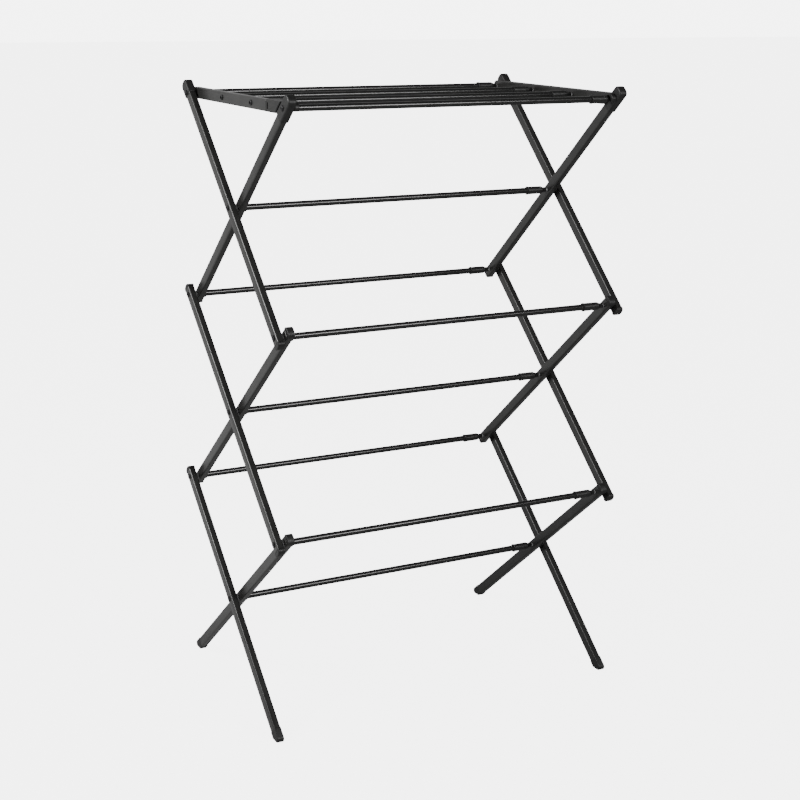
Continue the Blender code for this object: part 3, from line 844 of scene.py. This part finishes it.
def add_shelf_spacer(side_name):
    """The washer between a rail and the top back arm."""
    node = f"shelf_spacer_{side_name}"
    low, high = sorted(abs(corner.x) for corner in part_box(node))
    side = SIDES[side_name]
    ring = add_washer(node + "_ring", side, PIVOTS["top_back"], low, high, SHELF_SPACER_RADIUS, PLASTIC)
    settle(ring, BODY_OF[node], [node])


# ---------------------------------------------------------------- building the rack
for side_name in SIDES:
    for arm in ARMS:
        add_arm(side_name, *arm)
    add_cap("outer", side_name, "top_back")
    add_cap("inner", side_name, "top_front")
    add_foot("outer", side_name, "lower_back")
    add_foot("inner", side_name, "lower_front")
    add_arm_spacers(side_name)
    add_rail(side_name)
    add_hook(side_name)
    add_shelf_spacer(side_name)
    for bar in PIVOT_NAMES:
        add_fastener("bolt", bar, side_name, BOLT_HEAD_RADIUS, BOLT_RECESS)
    for bar in SHELF_BARS:
        add_fastener("screw", bar, side_name, SCREW_HEAD_RADIUS, SCREW_RECESS)
for bar in PIVOTS:
    add_bar(bar)


# ---------------------------------------------------------------- stage, light and camera
WHITE = (1.0, 1.0, 1.0, 1.0)
FLOOR_SIZE = 30
FLOOR_DROP = 0.5 * MM
FLOOR_TINT = (0.30, 0.30, 0.30, 1)
FLOOR_SEEN = 5.2
# The light that the floor gives rises to the left, from one x to another
FLOOR_DIM = 0.06
FLOOR_DIM_X = -0.2
FLOOR_BRIGHT = 0.55
FLOOR_BRIGHT_X = -0.7
WORLD_SEEN = 6.0
WORLD_DIM = 0.13
WORLD_BRIGHT = 0.62
WORLD_BRIGHT_WAY = (-0.25, 0.80, -0.55)
WORLD_FADE = (-0.2, 0.6)
# Place, size and power in watts of each soft light
SIDE_BOX = ((-2.2, 0.2, 2.0), (0.9, 0.9), 70)
FRONT_BOX = ((0.95, -2.5, 1.75), (1.0, 0.8), 46)
CAMERA_PLACE = (-1.25444, -2.26378, 1.21634)
CAMERA_AZIMUTH = math.radians(25.908)
CAMERA_PITCH = math.radians(12.419)
CAMERA_ROLL = math.radians(0.523)
CAMERA_SENSOR = 36
CAMERA_LENS = 67.44
CAMERA_SHIFT = (0.0981, -0.1033)


def camera_switch(tree, given, seen):
    """One value for the light that the stage gives, and another for what the camera sees of it."""
    path = tree.nodes.new("ShaderNodeLightPath")
    choice = tree.nodes.new("ShaderNodeMix")
    tree.links.new(path.outputs["Is Camera Ray"], choice.inputs["Factor"])
    tree.links.new(given, choice.inputs["A"])
    choice.inputs["B"].default_value = seen
    return choice.outputs["Result"]


def add_floor():
    """A plain pale floor that gives more light on the left than under the rack."""
    shape = bmesh.new()
    bmesh.ops.create_grid(shape, x_segments=1, y_segments=1, size=FLOOR_SIZE)
    material = bpy.data.materials.new("pale_floor")
    material.use_nodes = True
    tree = material.node_tree
    shader = tree.nodes["Principled BSDF"]
    shader.inputs["Base Color"].default_value = FLOOR_TINT
    shader.inputs["Roughness"].default_value = 0.9
    shader.inputs["Specular IOR Level"].default_value = 0.1
    shader.inputs["Emission Color"].default_value = WHITE
    place = tree.nodes.new("ShaderNodeTexCoord")
    split = tree.nodes.new("ShaderNodeSeparateXYZ")
    tree.links.new(place.outputs["Object"], split.inputs["Vector"])
    glow = tree.nodes.new("ShaderNodeMapRange")
    glow.inputs["From Min"].default_value = FLOOR_DIM_X
    glow.inputs["From Max"].default_value = FLOOR_BRIGHT_X
    glow.inputs["To Min"].default_value = FLOOR_DIM
    glow.inputs["To Max"].default_value = FLOOR_BRIGHT
    tree.links.new(split.outputs["X"], glow.inputs["Value"])
    strength = camera_switch(tree, glow.outputs["Result"], FLOOR_SEEN)
    tree.links.new(strength, shader.inputs["Emission Strength"])
    floor = new_piece("floor", shape, material)
    floor.location = (0, 0, -FLOOR_DROP)


def add_area_light(name, target, place, size, power):
    light = bpy.data.lights.new(name, "AREA")
    light.shape = "RECTANGLE"
    light.size, light.size_y = size
    light.energy = power
    lamp = bpy.data.objects.new(name, light)
    lamp.location = place
    lamp.rotation_euler = (Vector(target) - Vector(place)).to_track_quat("-Z", "Y").to_euler()
    lamp.visible_camera = False
    bpy.context.scene.collection.objects.link(lamp)


def add_world():
    """Studio surroundings: bright low and behind the rack, dim above and in front."""
    world = bpy.data.worlds.new("studio")
    world.use_nodes = True
    tree = world.node_tree
    background = tree.nodes["Background"]
    background.inputs["Color"].default_value = WHITE
    place = tree.nodes.new("ShaderNodeTexCoord")
    toward = tree.nodes.new("ShaderNodeVectorMath")
    toward.operation = "DOT_PRODUCT"
    toward.inputs[1].default_value = WORLD_BRIGHT_WAY
    tree.links.new(place.outputs["Generated"], toward.inputs[0])
    glow = tree.nodes.new("ShaderNodeMapRange")
    glow.interpolation_type = "SMOOTHSTEP"
    glow.inputs["From Min"].default_value, glow.inputs["From Max"].default_value = WORLD_FADE
    glow.inputs["To Min"].default_value = WORLD_DIM
    glow.inputs["To Max"].default_value = WORLD_BRIGHT
    tree.links.new(toward.outputs["Value"], glow.inputs["Value"])
    strength = camera_switch(tree, glow.outputs["Result"], WORLD_SEEN)
    tree.links.new(strength, background.inputs["Strength"])
    bpy.context.scene.world = world


def add_camera():
    """The viewing angle: from the front left, looking a little down, with a small lens shift."""
    level = math.cos(CAMERA_PITCH)
    forward = Vector(
        (math.sin(CAMERA_AZIMUTH) * level, math.cos(CAMERA_AZIMUTH) * level, -math.sin(CAMERA_PITCH))
    )
    right = Vector((math.cos(CAMERA_AZIMUTH), -math.sin(CAMERA_AZIMUTH), 0))
    up = right.cross(forward)
    rolled_right = math.cos(CAMERA_ROLL) * right + math.sin(CAMERA_ROLL) * up
    rolled_up = math.cos(CAMERA_ROLL) * up - math.sin(CAMERA_ROLL) * right
    data = bpy.data.cameras.new("camera")
    data.sensor_width = CAMERA_SENSOR
    data.lens = CAMERA_LENS
    data.shift_x, data.shift_y = CAMERA_SHIFT
    camera = bpy.data.objects.new("camera", data)
    turn = Matrix((rolled_right, rolled_up, -forward)).transposed().to_4x4()
    camera.matrix_world = Matrix.Translation(CAMERA_PLACE) @ turn
    bpy.context.scene.collection.objects.link(camera)
    bpy.context.scene.camera = camera


add_floor()
add_world()
rack_middle = (cad_box[0] + cad_box[1]) / 2
add_area_light("side_box", rack_middle, *SIDE_BOX)
add_area_light("front_box", rack_middle, *FRONT_BOX)
add_camera()
